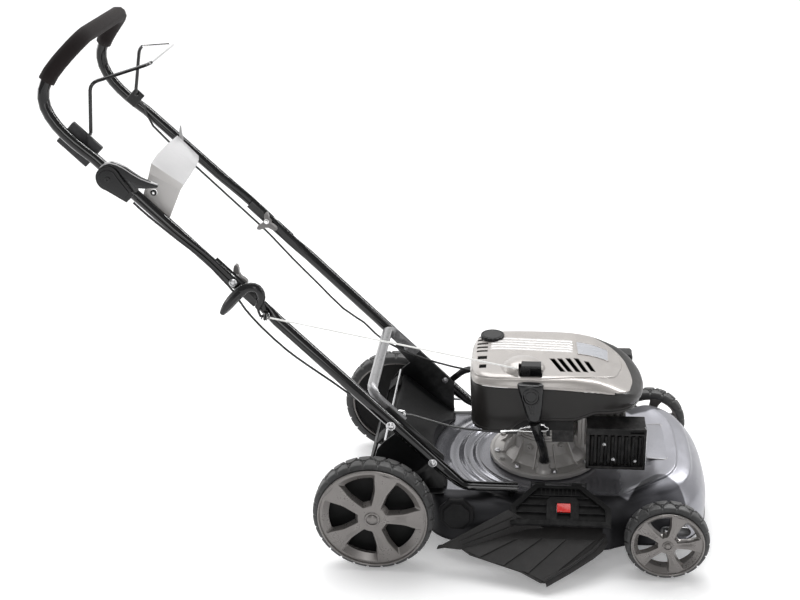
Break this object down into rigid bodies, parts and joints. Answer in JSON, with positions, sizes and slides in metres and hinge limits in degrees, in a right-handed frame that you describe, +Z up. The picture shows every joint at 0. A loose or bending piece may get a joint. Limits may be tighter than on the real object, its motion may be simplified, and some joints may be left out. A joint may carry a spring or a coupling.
{
  "type": "mulching lawn mower",
  "caption": "Walk-behind petrol mulching mower: pressed deck, cranked axles, folding tube handle with bail, foam grip and throttle, recoil start, side chute, rear door.",
  "frame": {"origin": "middle of the footprint, on the ground", "axes": "+X forwards, +Y to the mower's left, +Z up"},
  "size_m": [1.4659, 0.6712, 1.2228],
  "materials": {
    "graphite_paint": "metallic dark grey paint on pressed steel",
    "gloss_black_steel": "gloss black paint on steel tube and plate",
    "black_plastic": "fine-grained black moulding",
    "dark_plastic": "grained charcoal moulding",
    "exhaust_black": "heat-resistant matt black paint on sheet steel",
    "foam": "closed-cell foam",
    "tyre_rubber": "dull black rubber",
    "rim_silver": "silver-grey moulded wheel",
    "cover_silver": "warm silver painted moulding",
    "shroud_charcoal": "charcoal moulding",
    "cast_aluminium": "raw casting",
    "steel": "zinc-plated steel",
    "spring_steel": "plain steel",
    "console_grey": "light grey moulding",
    "knob_grey": "grey moulding",
    "rope": "braided white cord",
    "cable_black": "black plastic sheath",
    "button_red": "red moulding",
    "primer_red": "soft red bulb"
  },
  "bodies": {
    "mower": {"air_filter_box": "black_plastic", "blower_housing": "shroud_charcoal", "brake_cable_lower": "cable_black", "crankcase": "cast_aluminium", "cross_brace": "gloss_black_steel", "cylinder": "cast_aluminium", "deck": "graphite_paint", "discharge_chute": "dark_plastic", "filler_tube": "black_plastic", "handle_bracket_left": "gloss_black_steel", "handle_bracket_right": "gloss_black_steel", "lower_handle_left": "gloss_black_steel", "lower_handle_right": "gloss_black_steel", "muffler": "exhaust_black", "mulch_plug": "black_plastic", "pivot_cover": "black_plastic", "rear_door_rod": "steel", "rear_housing_cover": "black_plastic", "rope_guide": "steel", "side_flap_rod": "steel", "starter_rope": "rope", "throttle_cable_lower": "cable_black", "top_cover": "cover_silver"},
    "rear_axle": {"rear_axle": "spring_steel", "height_lever": "black_plastic"},
    "front_axle": {"front_axle": "spring_steel"},
    "tie_rod": {"height_tie_rod": "spring_steel"},
    "wheel_rr": {"tyre_rear_right": "tyre_rubber", "rim_rear_right": "rim_silver"},
    "wheel_rl": {"tyre_rear_left": "tyre_rubber", "rim_rear_left": "rim_silver"},
    "wheel_fr": {"tyre_front_right": "tyre_rubber", "rim_front_right": "rim_silver"},
    "wheel_fl": {"tyre_front_left": "tyre_rubber", "rim_front_left": "rim_silver"},
    "upper": {"upper_handle": "gloss_black_steel", "foam_grip": "foam", "bail_bracket_left": "dark_plastic", "bail_bracket_right": "dark_plastic", "control_housing": "black_plastic", "console_panel": "console_grey", "throttle_cable_upper": "cable_black", "brake_cable_upper": "cable_black", "pivot_bolt_left": "steel", "pivot_bolt_right": "steel"},
    "knob_r": {"star_knob_right": "knob_grey"},
    "knob_l": {"star_knob_left": "knob_grey"},
    "bail": {"bail": "gloss_black_steel"},
    "throttle": {"throttle_lever": "black_plastic"},
    "starter": {"starter_grip": "black_plastic"},
    "door": {"rear_door": "black_plastic"},
    "flap": {"side_flap": "black_plastic"},
    "latch": {"latch_button": "button_red"},
    "spindle": {"crankshaft": "steel", "flywheel": "cast_aluminium", "blade": "spring_steel", "blade_bolt": "steel"},
    "fuel": {"fuel_cap": "black_plastic"},
    "dip": {"dipstick": "black_plastic"},
    "primer": {"primer_bulb": "primer_red"}
  },
  "joints": [
    {"name": "rear_axle_swing", "type": "hinge", "parent": "mower", "child": "rear_axle", "pos_m": [0.004, 0.0345, 0.14], "axis": [0, 1, 0], "range_deg": [-20, 20]},
    {"name": "front_axle_swing", "type": "hinge", "parent": "mower", "child": "front_axle", "pos_m": [0.669, 0.0345, 0.095], "axis": [0, 1, 0], "range_deg": [-20, 20]},
    {"name": "tie_rod_swing", "type": "hinge", "parent": "rear_axle", "child": "tie_rod", "pos_m": [0.004, 0.2565, 0.18], "axis": [0, 1, 0], "range_deg": [-20, 20]},
    {"name": "wheel_rr_spin", "type": "hinge", "parent": "rear_axle", "child": "wheel_rr", "pos_m": [-0.041, -0.241, 0.14], "axis": [0, 1, 0], "continuous": true},
    {"name": "wheel_rl_spin", "type": "hinge", "parent": "rear_axle", "child": "wheel_rl", "pos_m": [-0.041, 0.31, 0.14], "axis": [0, 1, 0], "continuous": true},
    {"name": "wheel_fr_spin", "type": "hinge", "parent": "front_axle", "child": "wheel_fr", "pos_m": [0.624, -0.2415, 0.095], "axis": [0, 1, 0], "continuous": true},
    {"name": "wheel_fl_spin", "type": "hinge", "parent": "front_axle", "child": "wheel_fl", "pos_m": [0.624, 0.3105, 0.095], "axis": [0, 1, 0], "continuous": true},
    {"name": "handle_fold", "type": "hinge", "parent": "mower", "child": "upper", "pos_m": [-0.341, 0.0345, 0.68], "axis": [0, 1, 0], "range_deg": [0, 125]},
    {"name": "knob_r_turn", "type": "hinge", "parent": "upper", "child": "knob_r", "pos_m": [-0.341, -0.1255, 0.68], "axis": [0, 1, 0], "continuous": true},
    {"name": "knob_l_turn", "type": "hinge", "parent": "upper", "child": "knob_l", "pos_m": [-0.341, 0.1945, 0.68], "axis": [0, 1, 0], "continuous": true},
    {"name": "bail_pull", "type": "hinge", "parent": "upper", "child": "bail", "pos_m": [-0.636, 0.0345, 1.004], "axis": [0, -1, 0], "range_deg": [0, 37], "stiffness_Nm_per_rad": 2, "springref_deg": -28.65},
    {"name": "throttle_swing", "type": "hinge", "parent": "upper", "child": "throttle", "pos_m": [-0.5795, -0.2015, 0.931], "axis": [0, 1, 0], "range_deg": [-20, 25]},
    {"name": "starter_pull", "type": "slide", "parent": "mower", "child": "starter", "axis": [-0.9504, -0.1513, 0.2719], "range_m": [0, 0.45], "stiffness_N_per_m": 12, "springref_m": -0.4},
    {"name": "rear_door_swing", "type": "hinge", "parent": "mower", "child": "door", "pos_m": [-0.021, 0.0345, 0.2765], "axis": [0, 1, 0], "range_deg": [0, 75], "stiffness_Nm_per_rad": 0.3, "springref_deg": -34.38},
    {"name": "side_flap_swing", "type": "hinge", "parent": "mower", "child": "flap", "pos_m": [0.384, -0.1495, 0.177], "axis": [-1, 0, 0], "range_deg": [0, 60], "stiffness_Nm_per_rad": 0.3, "springref_deg": -34.38},
    {"name": "latch_press", "type": "slide", "parent": "flap", "child": "latch", "axis": [0, 0.5326, -0.8464], "range_m": [0, 0.003], "stiffness_N_per_m": 400, "springref_m": -0.002},
    {"name": "blade_spin", "type": "hinge", "parent": "mower", "child": "spindle", "pos_m": [0.35, 0.0345, 0.2], "axis": [0, 0, 1], "continuous": true},
    {"name": "fuel_cap_turn", "type": "hinge", "parent": "mower", "child": "fuel", "pos_m": [0.219, 0.0985, 0.4358], "axis": [0, 0, 1], "range_deg": [0, 90]},
    {"name": "dipstick_pull", "type": "slide", "parent": "mower", "child": "dip", "axis": [0, 0, 1], "range_m": [0, 0.12]},
    {"name": "primer_press", "type": "slide", "parent": "mower", "child": "primer", "axis": [-1, 0, 0], "range_m": [0, 0.004], "stiffness_N_per_m": 300, "springref_m": -0.002}
  ],
  "couplings": [
    {"joint": "front_axle_swing", "follows": "rear_axle_swing", "ratio": 1},
    {"joint": "tie_rod_swing", "follows": "rear_axle_swing", "ratio": -1}
  ]
}
